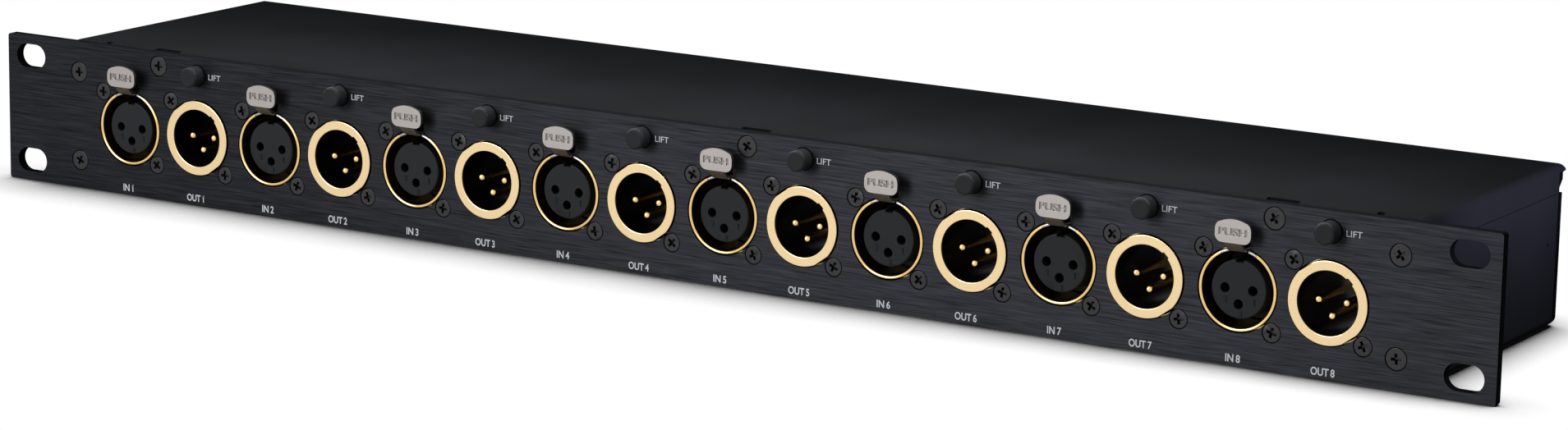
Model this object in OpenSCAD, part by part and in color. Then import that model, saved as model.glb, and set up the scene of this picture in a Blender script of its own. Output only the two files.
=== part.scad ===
// Rack-mount audio patch bay, one rack unit high: eight channels, each with a latching
// input socket, an output plug socket and a ground-lift push button on the front,
// and a second output on the rear wall.
// Frame: X to the right as seen from the front, Y into the rack, Z up, in millimetres.
// The origin is the middle of the panel's rear face, the plane that meets the rack rails.

/* [Front panel] */
// Width over the rack ears
panel_w = 482.6; // [478:0.1:488]
// Height of the panel
panel_h = 44.2; // [43.6:0.1:44.4]
// Thickness of the panel
panel_t = 3; // [2.5:0.1:3.6]
// Radius of the panel's corners
panel_corner_r = 0.9; // [0.5:0.1:3]

/* [Rack slots] */
// Distance of the slots' middles from the panel's ends
slot_inset = 8.75; // [7.8:0.05:10.3]
// Distance between the slot rows
slot_pitch_z = 31.75; // [31:0.05:32.5]
// Length of a slot, end to end
slot_len = 11; // [8:0.1:12]
// Height of a slot
slot_w = 7.2; // [6:0.1:7.6]

/* [Chassis] */
// Room between the end sockets' flanges and the chassis's sides
end_room = 11.75; // [9.75:0.25:14.75]
// Height of the chassis, cover and tray together
chassis_h = 44.1; // [43.5:0.1:44.2]
// Depth from the panel's rear face to the rear wall's outer face
chassis_d = 90; // [86:0.1:120]
// How far the cover's top stands above the panel's top edge
cover_rise = 0.1; // [0:0.05:0.2]
// Sheet thickness of the tray
tray_t = 2; // [1.5:0.1:2.2]
// Sheet thickness of the cover
cover_t = 2; // [1.2:0.1:2.2]
// Outer radius of the folded edges
fold_r = 2.4; // [2.3:0.1:3]
// Height of the cover's side lips and rear flange
lip_h = 7.5; // [6.5:0.1:8.5]
// Gap between the cover's lips and the tray's steps and walls
lip_gap = 0.2; // [0.1:0.05:0.4]
// Width of the slits in the cover's front fold
slit_w = 2; // [1:0.1:3]
// Distance of the slits from the tray's sides
slit_inset = 10.7; // [8.8:0.1:12.8]
// Width of the tray's side flanges behind the panel
side_flange_w = 7.3; // [6.5:0.1:8]
// Gap between the tray's flange along the panel's lower edge and the sockets' flanges
low_flange_gap = 0.9; // [0.7:0.1:3.1]

/* [Channels] */
// Number of channels
channels = 8; // [8]
// Distance from a channel's input to its output
pair_pitch = 25.5; // [25.2:0.1:26]
// Distance from a channel's output to the next channel's input
next_pitch = 26.5; // [26.1:0.1:26.9]
// How far the sockets' axes lie below the panel's middle
socket_drop = 1.8; // [1:0.1:2.2]

/* [Sockets] */
// Diameter of the gold shell where it passes the panel
shell_d = 22.1; // [21.6:0.1:22.4]
// Gap round the shell in the panel's hole
hole_gap = 0.35; // [0.25:0.05:0.5]
// Gap between the flanges of a channel's two sockets
flange_gap = 0.5; // [0.4:0.1:0.9]
// Height of the shell's flange behind the panel
socket_flange_h = 26; // [25:0.1:26.4]
// Thickness of the shell's flange
socket_flange_t = 2; // [1.5:0.1:2.5]
// Sideways and upward distance of a socket's screws from its axis
socket_screw_at = 10; // [9.9:0.05:10.1]
// Radius of the circle that the three pins lie on
pin_circle_r = 3.96; // [3.8:0.01:4.1]
// Diameter of a contact pin
pin_d = 2.4; // [2.2:0.05:2.5]
// Diameter of the solder tails
tail_d = 1; // [0.8:0.05:1.2]
// Running gap between fixed parts that slide into each other
fit_gap = 0.1; // [0.05:0.01:0.15]

/* [Input sockets] */
// Wall thickness of the input shell's rim
input_wall = 0.9; // [0.8:0.05:1.1]
// How far the input rim stands proud of the panel
input_proud = 0.2; // [0:0.05:0.4]
// Depth of the input shell behind the panel's front face
input_depth = 15; // [14.5:0.1:16]
// Diameter of the input's insert
insert_d = 15.6; // [15:0.1:16]
// How far the insert's face lies behind the panel's front face
insert_recess = 0.8; // [0.4:0.1:1.5]
// Thickness of the insert's base
insert_base_t = 2; // [1.5:0.1:2.2]
// Diameter of the holes that the pins enter
entry_d = 2.7; // [2.6:0.05:2.9]
// Outside diameter of the spring contacts
contact_d = 3.3; // [3.1:0.05:3.5]

/* [Latches] */
// Width of the push tab
tab_w = 10.2; // [9.5:0.1:11]
// Height of the push tab from its shoulders to its crown
tab_h = 6.25; // [5.8:0.05:6.6]
// Height of the tab's shoulders above the socket's axis
tab_low = 12.9; // [12.7:0.1:13.2]
// Radius of the tab's crown
crown_r = 9.5; // [8.5:0.1:11]
// Radius of the tab's upper corners
tab_top_r = 1.5; // [1:0.1:1.5]
// Radius of the tab's lower corners
tab_low_r = 2; // [1.2:0.1:2]
// How far the tab's face stands in front of the panel
tab_proud = 4; // [3.6:0.1:4.4]
// Thickness of the latch plate
latch_t = 1; // [0.8:0.05:1.1]
// Width of the latch's neck and arm
latch_w = 5; // [4.4:0.1:5.2]
// Inner radius of the bend between neck and arm
latch_bend_r = 1.5; // [1.3:0.05:1.6]
// Distance of the hinge behind the panel's front face
hinge_depth = 10; // [9.5:0.1:10.3]
// Height of the hinge above the socket's axis
hinge_up = 12; // [11.9:0.05:12.1]
// Diameter of the hinge pin
hinge_pin_d = 1.6; // [1.4:0.05:1.8]
// Angle that the latch turns through when pushed
latch_angle = 10; // [6:0.5:10]
// Width of one jaw of the nickel bracket beside the latch
jaw_w = 2.2; // [1.8:0.1:2.3]
// Sideways gap between the latch and the bracket's jaws
jaw_gap = 0.25; // [0.2:0.05:0.3]

/* [Output sockets] */
// Inner diameter of the gold ring
ring_bore_d = 17; // [16.6:0.1:17.4]
// How far the output ring stands proud of the wall
ring_proud = 0.6; // [0.2:0.05:0.9]
// Thickness of the ring's lip in front of the plastic cup
ring_lip_t = 0.8; // [0.6:0.05:1]
// Chamfer on the ring's outer edge
ring_chamfer = 0.25; // [0.1:0.05:0.4]
// Wall thickness of the output shell behind its lip
output_wall = 1.25; // [1:0.05:1.4]
// Depth of the cup's floor behind the wall's outer face
cup_depth = 14; // [13:0.1:14.5]
// Thickness of the cup's floor
cup_floor_t = 2.5; // [2:0.1:3]
// Depth of the pins' tips behind the wall's outer face
pin_recess = 2; // [1.5:0.1:3]
// Depth of the flats that clear the screws on the ring's edge
ring_flat = 0.35; // [0.2:0.05:0.5]
// Width of the key notch in the ring's bore
key_w = 2.2; // [1.8:0.1:2.6]
// Depth of the key notch
key_deep = 0.5; // [0.3:0.05:0.7]
// Radius of the key notch's corners
key_corner_r = 0.25; // [0.1:0.05:0.4]

/* [Ground-lift buttons] */
// Distance of the buttons' axes below the panel's top edge
button_drop = 5.3; // [5.1:0.1:5.5]
// Diameter of the cap
cap_d = 5.9; // [5.6:0.1:6.1]
// How far the cap stands in front of the panel
cap_proud = 4.5; // [4:0.1:5]
// Travel of the button
cap_travel = 2.5; // [2:0.1:2.8]
// Length of the cap behind the panel's front face
cap_back = 4.5; // [4:0.1:5]
// Chamfer round the cap's face
cap_chamfer = 0.45; // [0.3:0.05:0.7]
// Gap round the cap in the panel's hole
cap_gap = 0.3; // [0.25:0.05:0.4]
// Side of the square plunger
plunger_w = 2.4; // [2:0.1:2.8]
// Side of the square switch body
switch_w = 6.2; // [5.8:0.1:6.4]
// Length of the switch body
switch_l = 8; // [7:0.1:9]

/* [Circuit board and leads] */
// Depth of the board's front face behind the panel's front face
board_depth = 20; // [19.8:0.1:21]
// Thickness of the board
board_t = 1.6; // [1.4:0.1:2]
// Length of the solder tails past the board
tail_past = 1.5; // [1:0.1:2]
// Width of a flat lead
lead_w = 8; // [6:0.5:10]
// Thickness of a flat lead
lead_t = 1.2; // [1:0.1:1.6]

/* [Screws] */
// Head diameter of the socket screws
socket_head_d = 5; // [4.8:0.1:5.2]
// Head diameter of the panel screws
panel_head_d = 5.8; // [5.6:0.1:6]
// Thread diameter of all screws
thread_d = 2.9; // [2.5:0.1:3]
// Length of the screws that hold the panel and the sockets
screw_l = 8; // [7:0.5:10]
// Depth of the countersunk heads below the surface
head_recess = 0.1; // [0.05:0.01:0.2]
// Gap round a countersunk head
head_gap = 0.25; // [0.22:0.01:0.3]
// Gap round a thread in its hole
thread_gap = 0.1; // [0.05:0.01:0.15]
// Head diameter of the cover's pan-head screws
pan_head_d = 5.6; // [5:0.1:6]
// Head height of the cover's pan-head screws
pan_head_h = 1.8; // [1.5:0.1:2.2]

/* [Hidden] */
$fn = 64;
cut = 1;

// Places of the channels
channel_pitch = pair_pitch + next_pitch;
channel_span = (channels - 1) * channel_pitch + pair_pitch;
input_x = [for (i = [0 : channels - 1]) i * channel_pitch - channel_span / 2];
output_x = [for (x = input_x) x + pair_pitch];
rear_x = [for (x = input_x) x + pair_pitch / 2];
socket_z = -socket_drop;
socket_flange_w = min(pair_pitch, next_pitch) - flange_gap;
button_up = panel_h / 2 - button_drop;
front_y = -panel_t;
slot_pitch_x = panel_w - 2 * slot_inset;

// Chassis width, heights and walls
chassis_w = channel_span + socket_flange_w + 2 * end_room;
top_z = panel_h / 2 + cover_rise;
low_z = top_z - chassis_h;
lip_z = top_z - lip_h;
step_z = lip_z - lip_gap;
wall_top_z = top_z - fold_r - lip_gap;
side_x = chassis_w / 2;
tray_x = side_x - cover_t - lip_gap;
slit_x = tray_x - slit_inset;
low_flange_z = socket_z - socket_flange_h / 2 - low_flange_gap;
corner_slit = 0.5;
cover_back_y = chassis_d + lip_gap + cover_t;
mitre = 4.2;
mitre_start = 1.9;
mitre_end = 1.4;
dimple_r = 0.6;
dimple_deep = 0.4;
dimple_inset = 8.1;
dimple_up = 1.3;

// Screws that hold the panel: four to the tray's side flanges, three to the cover's tabs
side_screw_inset = 2.8;
side_screw_x = tray_x - side_screw_inset;
side_screw_drop = 9;
side_screw_rise = 8.4;
side_screw_z = [panel_h / 2 - side_screw_drop, side_screw_rise - panel_h / 2];
side_screw_end = front_y + screw_l;
left_tab_shift = 11;
middle_tab_shift = 7.45;
right_tab_shift = 9.65;
tab_screw_x = [input_x[0] + left_tab_shift, input_x[4] + middle_tab_shift, input_x[7] + right_tab_shift];
tab_screw_drop = 4.1;
tab_screw_z = top_z - tab_screw_drop;
tab_half_w = 8;
window_w = 9.2;
cover_screw_inset = 27;
cover_screw_up = 3;
cover_screw_x = [for (k = [-2 : 2]) k / 2 * (side_x - cover_screw_inset)];
cover_screw_z = lip_z + cover_screw_up;
cross_w = 0.9;
cross_l = 2.7;
cross_deep = 0.9;

// Socket sizes that follow from the driving ones
shell_r = shell_d / 2;
hole_r = shell_r + hole_gap;
input_bore_r = shell_r - input_wall;
cup_r = shell_r - output_wall - fit_gap;
ring_bore_r = ring_bore_d / 2;
pins = [[-pin_circle_r, 0], [pin_circle_r, 0], [0, -pin_circle_r]];
socket_screws = [[-socket_screw_at, socket_screw_at], [socket_screw_at, -socket_screw_at]];
flange_corner_r = 2.5;
key_angle = 47;
flat_angle = 126;
tail_end = board_depth + board_t + tail_past;
entry_t = 1.5;
contact_l = 9;
contact_wall = 0.35;
keyway_w = 2.4;
keyway_deep = 0.8;

// Latch, bracket and hinge
tab_top = tab_low + tab_h;
arm_low = tab_low - latch_bend_r - latch_t;
barrel_wall = 0.7;
barrel_r = hinge_pin_d / 2 + barrel_wall;
pin_gap = 0.05;
swing_gap = 0.4;
bridge_t = 0.8;
jaw_x = latch_w / 2 + jaw_gap;
jaw_out = jaw_x + jaw_w;
gap_half_w = jaw_out + fit_gap;
bracket_top = hinge_up + barrel_r + swing_gap;
bracket_back = hinge_depth + barrel_r + swing_gap + bridge_t;
gap_back = bracket_back + fit_gap;
gap_low = 8;
hook_low = 9;
hook_w = 3.2;
hook_front = 3;
hook_back = 6.5;
notch_side = 0.7;
notch_over = 0.5;
notch_half_w = latch_w / 2 + notch_side;
notch_top = arm_low + latch_t + hinge_depth * sin(latch_angle) + notch_over;

// Buttons and switches
socket_in_cap = 3.5;
plunger_front = cap_back - socket_in_cap;
plunger_in_switch = 3.2;
switch_front = board_depth - switch_l;
switch_end_gap = 0.5;
switch_bore_l = plunger_in_switch + cap_travel + switch_end_gap;
square_gap = 0.1;

// Board and leads
board_side_gap = 4.5;
board_low_gap = 2;
board_top_gap = 0.6;
board_half_w = tray_x - side_flange_w - board_side_gap;
board_low_z = low_z + tray_t + board_low_gap;
board_top_z = top_z - cover_t - board_top_gap;
lead_plug = [12, 7, 6];
lead_socket_rim = 3;
lead_socket_l = 7;
rear_tail_y = chassis_d - tail_end;

function numbered(name) = [for (i = [1 : channels]) str(name, "_", i)];

// Extrudes a sideways profile, drawn as X and Z, between two depths
module along_y(y0, y1) {
    translate([0, y1, 0])
        rotate([90, 0, 0])
            linear_extrude(y1 - y0)
                children();
}

// Extrudes an end profile, drawn as Y and Z, between two sideways places
module along_x(x0, x1) {
    translate([x0, 0, 0])
        rotate([90, 0, 90])
            linear_extrude(x1 - x0)
                children();
}

// Turns a profile, drawn as radius and depth, about the Y axis
module turned() {
    rotate([-90, 0, 0])
        rotate_extrude()
            children();
}

// Round rod or hole along Y
module rod(r, y0, y1) {
    translate([0, y0, 0])
        rotate([-90, 0, 0])
            cylinder(r = r, h = y1 - y0);
}

// Box between two corners
module block(low, high) {
    translate(low)
        cube(high - low);
}

// Rectangle between two corners in a profile
module pane(low, high) {
    translate(low)
        square(high - low);
}

// Rectangle with four round corners
module round_pane(low, high, r) {
    pane([low[0] + r, low[1]], [high[0] - r, high[1]]);
    pane([low[0], low[1] + r], [high[0], high[1] - r]);
    for (a = [low[0] + r, high[0] - r], b = [low[1] + r, high[1] - r])
        translate([a, b])
            circle(r);
}

// Puts a socket's parts on the front panel at each of the given places
module on_front(places) {
    for (x = places)
        translate([x, front_y, socket_z])
            children();
}

// Puts a socket's parts on the rear wall, facing backwards
module on_rear(places) {
    for (x = places)
        translate([x, chassis_d, socket_z])
            rotate([0, 0, 180])
                children();
}

// Countersunk screw, its head just below the surface at depth zero
module countersunk_screw(head_d, l) {
    cone_t = (head_d - thread_d) / 2;
    difference() {
        turned()
            polygon([
                [0, head_recess],
                [head_d / 2, head_recess],
                [thread_d / 2, head_recess + cone_t],
                [thread_d / 2, l],
                [0, l]
            ]);
        for (turn = [0, 90])
            rotate([0, turn, 0])
                block([-cross_l / 2, 0, -cross_w / 2], [cross_l / 2, head_recess + cross_deep, cross_w / 2]);
    }
}

// Countersunk hole for that screw through a wall
module countersunk_hole(head_d, wall) {
    head_r = head_d / 2 + head_gap;
    thread_r = thread_d / 2 + thread_gap;
    turned()
        polygon([
            [0, -cut],
            [head_r, -cut],
            [head_r, 0],
            [thread_r, head_r - thread_r],
            [thread_r, wall + cut],
            [0, wall + cut]
        ]);
}

// Hole and screw holes for one socket in a wall
module socket_hole(wall) {
    rod(hole_r, -cut, wall + cut);
    for (p = socket_screws)
        translate([p[0], 0, p[1]])
            countersunk_hole(socket_head_d, wall);
}

// Brushed and anodised aluminium panel with rack ears
module front_panel() {
    color("#26272b")
    difference() {
        along_y(front_y, 0)
            round_pane([-panel_w / 2, -panel_h / 2], [panel_w / 2, panel_h / 2], panel_corner_r);
        for (x = [-slot_pitch_x / 2, slot_pitch_x / 2], z = [-slot_pitch_z / 2, slot_pitch_z / 2])
            translate([x, 0, z])
                rack_slot();
        on_front(concat(input_x, output_x))
            socket_hole(panel_t);
        on_front(input_x)
            block([-notch_half_w, -cut, 0], [notch_half_w, panel_t + cut, notch_top]);
        for (x = output_x)
            translate([x, 0, button_up])
                rod(cap_d / 2 + cap_gap, front_y - cut, cut);
        on_panel_screws()
            countersunk_hole(panel_head_d, panel_t);
    }
}

// Obround hole for a rack screw
module rack_slot() {
    end_x = (slot_len - slot_w) / 2;
    for (x = [-end_x, end_x])
        translate([x, 0, 0])
            rod(slot_w / 2, front_y - cut, cut);
    block([-end_x, front_y - cut, -slot_w / 2], [end_x, cut, slot_w / 2]);
}

// Places of the seven screws that hold the panel to the chassis
module on_panel_screws() {
    for (x = [-side_screw_x, side_screw_x], z = side_screw_z)
        translate([x, front_y, z])
            children();
    for (x = tab_screw_x)
        translate([x, front_y, tab_screw_z])
            children();
}

// Folded sheet tray: floor, stepped sides, rear wall and the flanges behind the panel
module base_tray() {
    side_end_y = chassis_d - tray_t - corner_slit;
    wall_y = chassis_d - tray_t;
    color("#1b1c20")
    difference() {
        union() {
            along_y(0, side_end_y)
                tray_profile();
            intersection() {
                along_x(-side_x, side_x)
                    rear_fold(step_z);
                along_y(0, chassis_d + cut)
                    cupped([-side_x, low_z], [side_x, top_z], fold_r);
            }
            along_x(-tray_x, tray_x)
                rear_fold(wall_top_z);
            block([-slit_x, 0, low_z + fold_r / 2], [slit_x, tray_t, low_flange_z]);
            for (side = [0, 1])
                mirror([side, 0, 0])
                    side_flange();
        }
        on_rear(rear_x)
            socket_hole(tray_t);
        for (x = [-side_screw_x, side_screw_x], z = side_screw_z)
            translate([x, 0, z])
                rod(thread_d / 2 + thread_gap, -cut, side_screw_end + cut);
        for (x = cover_screw_x)
            translate([x, 0, cover_screw_z])
                rod(thread_d / 2 + thread_gap, wall_y - cut, chassis_d + cut);
        for (side = [0, 1])
            mirror([side, 0, 0])
                side_dimple();
    }
}

// Cross profile of the floor and sides, which step in so that the cover's lips lie flush
module tray_profile() {
    difference() {
        union() {
            cupped([-side_x, low_z], [side_x, step_z], fold_r);
            pane([-tray_x, step_z - tray_t], [tray_x, wall_top_z]);
        }
        cupped([tray_t - side_x, low_z + tray_t], [side_x - tray_t, step_z - tray_t], fold_r - tray_t);
        pane([tray_t - tray_x, step_z - tray_t - cut], [tray_x - tray_t, wall_top_z + cut]);
    }
}

// Flange at the front of one side, which the panel's end screws go into
module side_flange() {
    flange_x = tray_x - side_flange_w;
    block([flange_x, 0, low_z + tray_t], [side_x - tray_t / 2, tray_t, step_z - tray_t / 2]);
    block([flange_x, 0, low_z + tray_t], [tray_x - tray_t / 2, tray_t, wall_top_z - lip_gap]);
}

// Punched dimple in the side wall, near the rear
module side_dimple() {
    translate([side_x - dimple_deep, chassis_d - dimple_inset, dimple_up])
        rotate([0, 90, 0])
            cylinder(r = dimple_r, h = dimple_deep + cut);
}

// End profile of the rear wall and its fold from the floor, up to a given height
module rear_fold(top) {
    wall_y = chassis_d - tray_t;
    pane([wall_y, low_z + fold_r], [chassis_d, top]);
    pane([wall_y - corner_slit - cut, low_z], [chassis_d - fold_r, low_z + tray_t]);
    intersection() {
        translate([chassis_d - fold_r, low_z + fold_r])
            difference() {
                circle(fold_r);
                circle(fold_r - tray_t);
            }
        pane([chassis_d - fold_r, low_z], [chassis_d, low_z + fold_r]);
    }
}

// Folded sheet cover: top, side lips, rear flange, front fold and three screw tabs
module top_cover() {
    inner_r = fold_r - cover_t;
    under_z = top_z - cover_t;
    front_fold_z = top_z - fold_r;
    color("#202224")
    difference() {
        intersection() {
            along_x(-side_x, side_x)
                arched([0, lip_z], [cover_back_y, top_z], fold_r);
            along_y(0, cover_back_y)
                arched([-side_x, lip_z], [side_x, top_z], fold_r);
        }
        intersection() {
            along_x(-side_x + cover_t, side_x - cover_t)
                arched([cover_t, lip_z - cut], [cover_back_y - cover_t, under_z], inner_r);
            along_y(0, cover_back_y)
                arched([-side_x + cover_t, lip_z - cut], [side_x - cover_t, under_z], inner_r);
        }
        open_front(front_fold_z);
        for (x = tab_screw_x) {
            block(
                [x - window_w / 2, -cut, front_fold_z - inner_r],
                [x + window_w / 2, fold_r + inner_r, top_z + cut]
            );
            translate([x, 0, tab_screw_z])
                rod(thread_d / 2 + thread_gap, -cut, cover_t + cut);
        }
        for (x = [-slit_x, slit_x])
            block([x - slit_w / 2, -cut, lip_z - cut], [x + slit_w / 2, fold_r + inner_r, top_z + cut]);
        for (side = [0, 1])
            mirror([side, 0, 0])
                rear_mitre();
        for (x = cover_screw_x)
            translate([x, 0, cover_screw_z])
                rod(thread_d / 2 + thread_gap, cover_back_y - cover_t - cut, cover_back_y + cut);
    }
}

// Rectangle with its two lower corners round
module cupped(low, high, r) {
    translate([0, low[1] + high[1]])
        mirror([0, 1])
            arched(low, high, r);
}

// Rectangle with its two upper corners round
module arched(low, high, r) {
    pane(low, [high[0], high[1] - r]);
    pane([low[0] + r, low[1]], [high[0] - r, high[1]]);
    for (a = [low[0] + r, high[0] - r])
        translate([a, high[1] - r])
            circle(r);
}

// Cuts the cover's front wall away below its fold, apart from the three tabs
module open_front(fold_z) {
    edges = concat(
        [-side_x + cover_t],
        [for (x = tab_screw_x, side = [-1, 1]) x + side * tab_half_w],
        [side_x - cover_t]
    );
    for (k = [0 : 2 : len(edges) - 1])
        block([edges[k], -cut, lip_z - cut], [edges[k + 1], cover_t + cut, fold_z]);
}

// Cuts that free the side lip from the rear flange at one rear corner
module rear_mitre() {
    along_x(side_x - cover_t - lip_gap, side_x + cut)
        mitre_profile(cover_back_y);
    along_y(cover_back_y - cover_t - lip_gap, cover_back_y + cut)
        mitre_profile(side_x);
}

// What is cut off the end of a lip: a slope below the fold, then a straight end
module mitre_profile(end) {
    polygon([
        [end + cut, top_z - mitre_start],
        [end, top_z - mitre_start],
        [end - mitre, lip_z + mitre_end],
        [end - mitre, lip_z - cut],
        [end + cut, lip_z - cut]
    ]);
}

// Black countersunk screws that hold the panel to the chassis
module panel_screws() {
    color("#17181a")
    on_panel_screws()
        countersunk_screw(panel_head_d, screw_l);
}

// Pan-head screws through the cover's rear flange into the rear wall
module cover_screws() {
    color("#17181a")
    for (x = cover_screw_x)
        translate([x, cover_back_y, cover_screw_z]) {
            difference() {
                rod(pan_head_d / 2, 0, pan_head_h);
                for (turn = [0, 90])
                    rotate([0, turn, 0])
                        block(
                            [-cross_l / 2, pan_head_h - cross_deep, -cross_w / 2],
                            [cross_l / 2, pan_head_h + cut, cross_w / 2]
                        );
            }
            rod(thread_d / 2, -screw_l, 0);
        }
}

// Countersunk screws that hold the sockets, two to each
module socket_screws_all() {
    color("#17181a") {
        on_front(concat(input_x, output_x))
            socket_screw_pair();
        on_rear(rear_x)
            socket_screw_pair();
    }
}

// The two screws of one socket
module socket_screw_pair() {
    for (p = socket_screws)
        translate([p[0], 0, p[1]])
            countersunk_screw(socket_head_d, screw_l);
}

// Flange behind the wall with its two screw holes
module socket_flange(wall) {
    difference() {
        along_y(wall, wall + socket_flange_t)
            round_pane(
                [-socket_flange_w / 2, -socket_flange_h / 2],
                [socket_flange_w / 2, socket_flange_h / 2],
                flange_corner_r
            );
        for (p = socket_screws)
            translate([p[0], 0, p[1]])
                rod(thread_d / 2 + thread_gap, wall - cut, wall + socket_flange_t + cut);
    }
}

// Gold-plated input shell: a thin rounded rim, cut open at the top for the latch
module input_shell() {
    rim_r = input_wall / 2;
    color("#d9b46a")
    difference() {
        union() {
            turned() {
                pane([input_bore_r, rim_r - input_proud], [shell_r, input_depth]);
                translate([input_bore_r + rim_r, rim_r - input_proud])
                    circle(rim_r);
            }
            socket_flange(panel_t);
        }
        rod(input_bore_r, 0, input_depth + cut);
        block([-gap_half_w, -cut, gap_low], [gap_half_w, gap_back, bracket_top + cut]);
    }
}

// Black moulded inserts with three holes for the plug's pins
module input_inserts() {
    color("#2e3033")
    on_front(input_x)
        difference() {
            turned() {
                pane([0, insert_recess], [insert_d / 2, input_depth]);
                pane([0, input_depth - insert_base_t], [input_bore_r - fit_gap, input_depth]);
            }
            for (p = pins)
                translate([p[0], 0, p[1]]) {
                    rod(entry_d / 2, 0, insert_recess + entry_t + cut);
                    rod(contact_d / 2 + fit_gap, insert_recess + entry_t, input_depth + cut);
                }
            block(
                [-keyway_w / 2, 0, insert_d / 2 - keyway_deep],
                [keyway_w / 2, input_depth - insert_base_t, insert_d / 2 + cut]
            );
        }
}

// Gold spring contacts in the inserts, with tails through the board
module input_contacts() {
    start = insert_recess + entry_t;
    color("#d9b46a")
    on_front(input_x)
        for (p = pins)
            translate([p[0], 0, p[1]])
                turned() {
                    pane([contact_d / 2 - contact_wall, start], [contact_d / 2, start + contact_l]);
                    pane([0, start + contact_l], [contact_d / 2, input_depth]);
                    pane([0, input_depth], [tail_d / 2, tail_end]);
                }
}

// Nickel-plated brackets that carry the latches' hinge pins
module latch_brackets() {
    color("#c9c3bb")
    on_front(input_x)
        difference() {
            union() {
                intersection() {
                    difference() {
                        rod(shell_r - fit_gap / 2, -input_proud / 2, bracket_back);
                        rod(input_bore_r, -cut, bracket_back + cut);
                    }
                    for (side = [0, 1])
                        mirror([side, 0, 0])
                            block([jaw_x, -cut, gap_low], [jaw_out, bracket_back, shell_r]);
                }
                for (side = [0, 1])
                    mirror([side, 0, 0])
                        block(
                            [jaw_x, panel_t + fit_gap, shell_r - 2 * input_wall],
                            [jaw_out, bracket_back, bracket_top]
                        );
                block([-jaw_out, bracket_back - bridge_t, arm_low], [jaw_out, bracket_back, bracket_top]);
            }
            rod(input_bore_r, -cut, bracket_back + cut);
            hinge_hole();
        }
}

// Hole for the hinge pin
module hinge_hole() {
    translate([0, hinge_depth, hinge_up])
        rotate([0, 90, 0])
            cylinder(r = hinge_pin_d / 2 + pin_gap, h = 4 * jaw_out, center = true);
}

// Hinge pins of the latches
module latch_pins() {
    color("#b8b4ae")
    on_front(input_x)
        translate([0, hinge_depth, hinge_up])
            rotate([0, 90, 0])
                cylinder(r = hinge_pin_d / 2, h = 2 * jaw_out, center = true);
}

// Bent nickel latch: push tab, neck, arm with its hook, and hinge barrel
module latch() {
    color("#cfc9c1")
    difference() {
        union() {
            along_y(-tab_proud, latch_t - tab_proud)
                push_tab();
            along_x(-latch_w / 2, latch_w / 2)
                latch_fold();
            along_x(-hook_w / 2, hook_w / 2)
                polygon([
                    [hook_front, arm_low + latch_t / 2],
                    [hook_front, arm_low],
                    [hook_back - latch_t, hook_low],
                    [hook_back, hook_low],
                    [hook_back, arm_low + latch_t / 2]
                ]);
            translate([0, hinge_depth, hinge_up])
                rotate([0, 90, 0])
                    cylinder(r = barrel_r, h = latch_w, center = true);
        }
        hinge_hole();
    }
}

// Outline of the push tab: crowned top, round corners, sloping into the neck
module push_tab() {
    half_w = tab_w / 2;
    crown_z = tab_top - crown_r;
    corner_x = half_w - tab_top_r;
    corner_z = crown_z + sqrt(pow(crown_r - tab_top_r, 2) - pow(corner_x, 2));
    touch_x = corner_x * crown_r / (crown_r - tab_top_r);
    low_x = half_w - tab_low_r;
    low_corner_z = tab_low + tab_low_r;
    intersection() {
        translate([0, crown_z])
            circle(crown_r);
        pane([-touch_x, low_corner_z], [touch_x, tab_top]);
    }
    pane([-half_w, low_corner_z], [half_w, corner_z]);
    pane([-low_x, tab_low], [low_x, low_corner_z + tab_low_r / 2]);
    for (side = [-1, 1]) {
        translate([side * corner_x, corner_z])
            circle(tab_top_r);
        translate([side * low_x, low_corner_z])
            circle(tab_low_r);
    }
}

// End profile of the latch's neck, bend and arm
module latch_fold() {
    bend_y = latch_t + latch_bend_r - tab_proud;
    pane([-tab_proud, tab_low], [latch_t - tab_proud, tab_low + tab_low_r]);
    pane([bend_y, arm_low], [hinge_depth, arm_low + latch_t]);
    intersection() {
        translate([bend_y, tab_low])
            difference() {
                circle(latch_bend_r + latch_t);
                circle(latch_bend_r);
            }
        pane([-tab_proud, arm_low], [bend_y, tab_low]);
    }
}

// Gold-plated output shell: a flat ring in front and a tube behind, through a wall
module output_shell(wall) {
    lip_back = ring_lip_t - ring_proud;
    color("#dfc083")
    difference() {
        union() {
            turned()
                polygon([
                    [ring_bore_r, -ring_proud],
                    [shell_r - ring_chamfer, -ring_proud],
                    [shell_r, ring_chamfer - ring_proud],
                    [shell_r, cup_depth],
                    [shell_r - output_wall, cup_depth],
                    [shell_r - output_wall, lip_back],
                    [ring_bore_r, lip_back]
                ]);
            socket_flange(wall);
        }
        rod(shell_r - output_wall, lip_back, cup_depth + cut);
        key_groove(-ring_proud - cut, lip_back + cut);
        for (turn = [flat_angle, flat_angle - 180])
            rotate([0, -turn, 0])
                block([shell_r - ring_flat, -ring_proud - cut, -shell_r], [shell_r + cut, wall, shell_r]);
    }
}

// Key notch on the ring's bore
module key_groove(y0, y1) {
    rotate([0, -key_angle, 0])
        along_y(y0, y1)
            round_pane([ring_bore_r - key_w, -key_w / 2], [ring_bore_r + key_deep, key_w / 2], key_corner_r);
}

// Black moulded cup that lines an output shell and holds its pins
module output_cup() {
    color("#151618")
    difference() {
        rod(cup_r, ring_lip_t - ring_proud, cup_depth + cup_floor_t);
        rod(ring_bore_r, -cut, cup_depth);
        for (p = pins)
            translate([p[0], 0, p[1]])
                rod(pin_d / 2 + fit_gap / 2, 0, cup_depth + cup_floor_t + cut);
    }
}

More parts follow.
